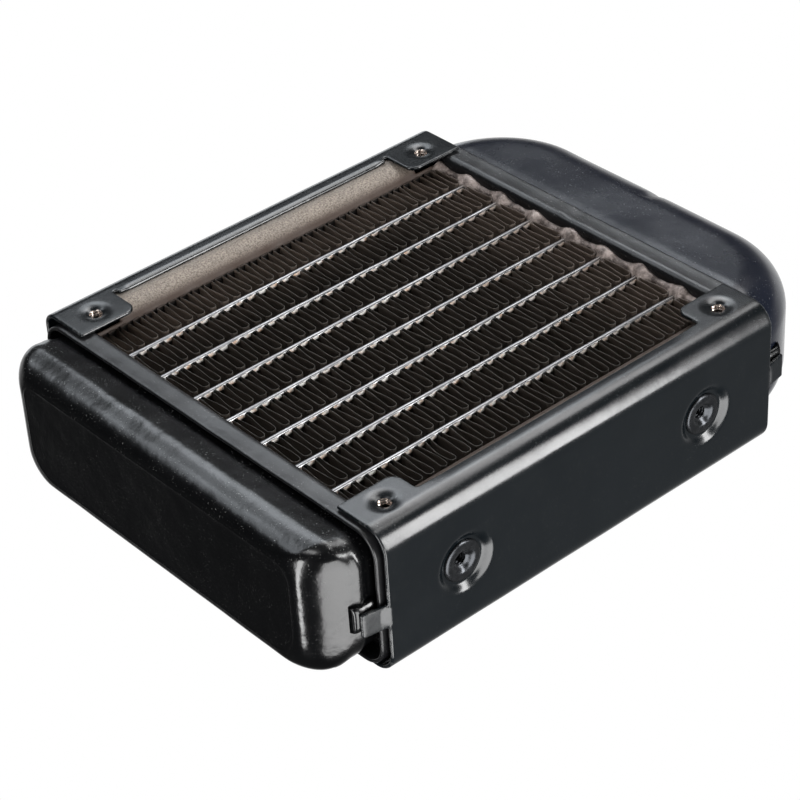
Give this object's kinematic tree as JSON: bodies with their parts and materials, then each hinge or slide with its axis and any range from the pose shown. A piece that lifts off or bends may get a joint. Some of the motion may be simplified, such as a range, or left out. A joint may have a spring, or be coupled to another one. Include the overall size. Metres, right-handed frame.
{
  "type": "liquid cooling radiator",
  "caption": "Flat-tube liquid cooling radiator for a single computer fan: soldered end tanks, corrugated fins, folded side panels with tapped fan holes.",
  "frame": {"origin": "centre of the lower square of fan screw holes, on the plane that the radiator rests on", "axes": "+X along the tubes towards the port tank, +Y towards the left side panel, +Z out of the upper fan face"},
  "size_m": [0.1658, 0.1246, 0.0396],
  "materials": {
    "tank_paint": "gloss black paint",
    "panel_paint": "satin black paint",
    "header_paint": "dusty black paint",
    "core_primer": "dry overspray",
    "tube_metal": "tinned, worn bright at the edges",
    "fin_copper": "copper under thin black paint",
    "bare_brass": "machined",
    "insert_steel": "blackened steel"
  },
  "bodies": {
    "root": {"tank_return": "tank_paint", "tank_port": "tank_paint", "header_return": "header_paint", "header_port": "header_paint", "port_divider": "bare_brass", "port_fitting_inlet": "bare_brass", "port_fitting_outlet": "bare_brass", "tube_1": "tube_metal", "tube_2": "tube_metal", "tube_3": "tube_metal", "tube_4": "tube_metal", "tube_5": "tube_metal", "tube_6": "tube_metal", "tube_7": "tube_metal", "fin_strip_1": "fin_copper", "fin_strip_2": "fin_copper", "fin_strip_3": "fin_copper", "fin_strip_4": "fin_copper", "fin_strip_5": "fin_copper", "fin_strip_6": "fin_copper", "fin_strip_7": "fin_copper", "fin_strip_8": "fin_copper", "core_side_left": "core_primer", "core_side_right": "core_primer", "side_panel_left": "panel_paint", "side_panel_right": "panel_paint", "side_inserts_left": "insert_steel", "side_inserts_right": "insert_steel"}
  },
  "joints": []
}
